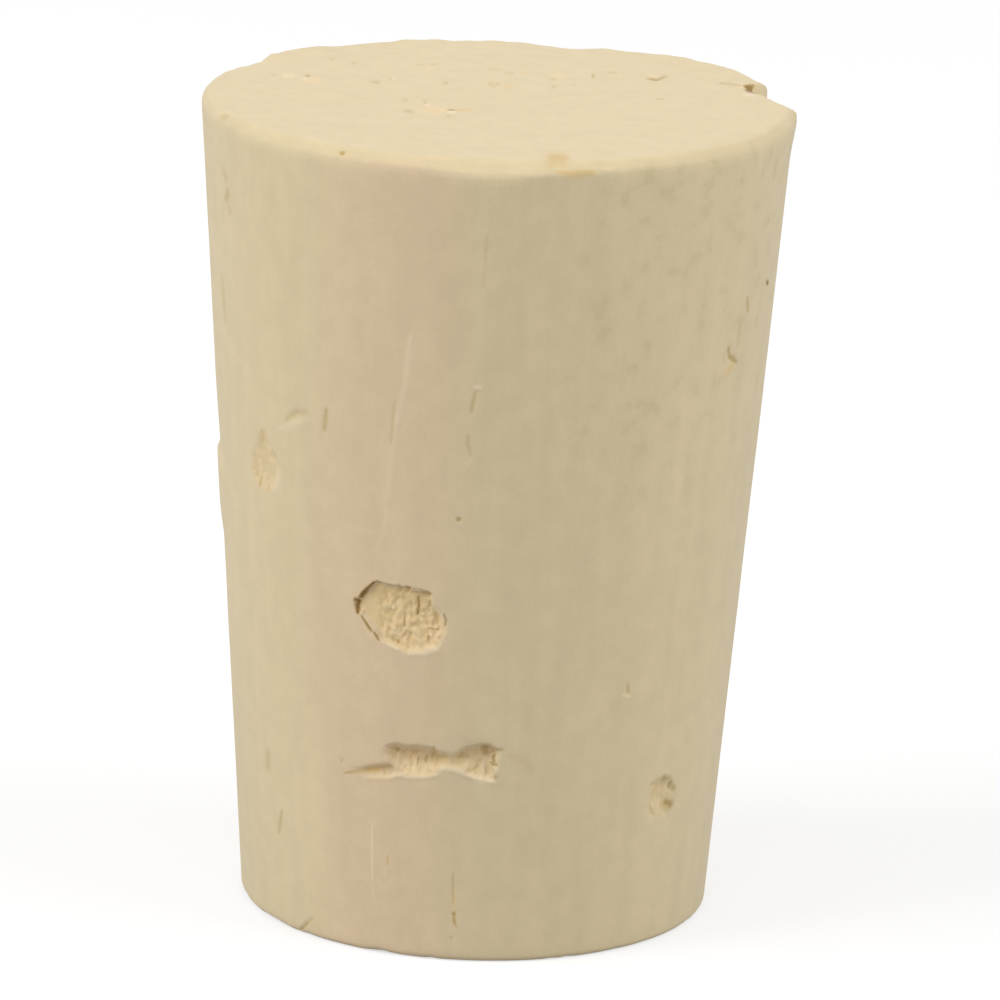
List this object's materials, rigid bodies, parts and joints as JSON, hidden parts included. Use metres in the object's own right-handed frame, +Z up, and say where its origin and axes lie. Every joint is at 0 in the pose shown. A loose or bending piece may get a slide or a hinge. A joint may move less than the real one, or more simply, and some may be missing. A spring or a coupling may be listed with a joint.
{
  "type": "cork stopper",
  "caption": "Tapered natural cork stopper with softened rims, lenticel pits in its flank and a worn rim, pressed into a bottle or flask neck to close it.",
  "frame": {"origin": "centre of the small end's flat face, which the stopper stands on", "axes": "+Z up the taper's axis towards the large end, -Y towards the picture's front side, +X to the right of it"},
  "size_m": [0.024, 0.024, 0.0335],
  "materials": {
    "cork": "matte, cut and sanded natural cork"
  },
  "bodies": {
    "root": {"cork_stopper": "cork"}
  },
  "joints": []
}
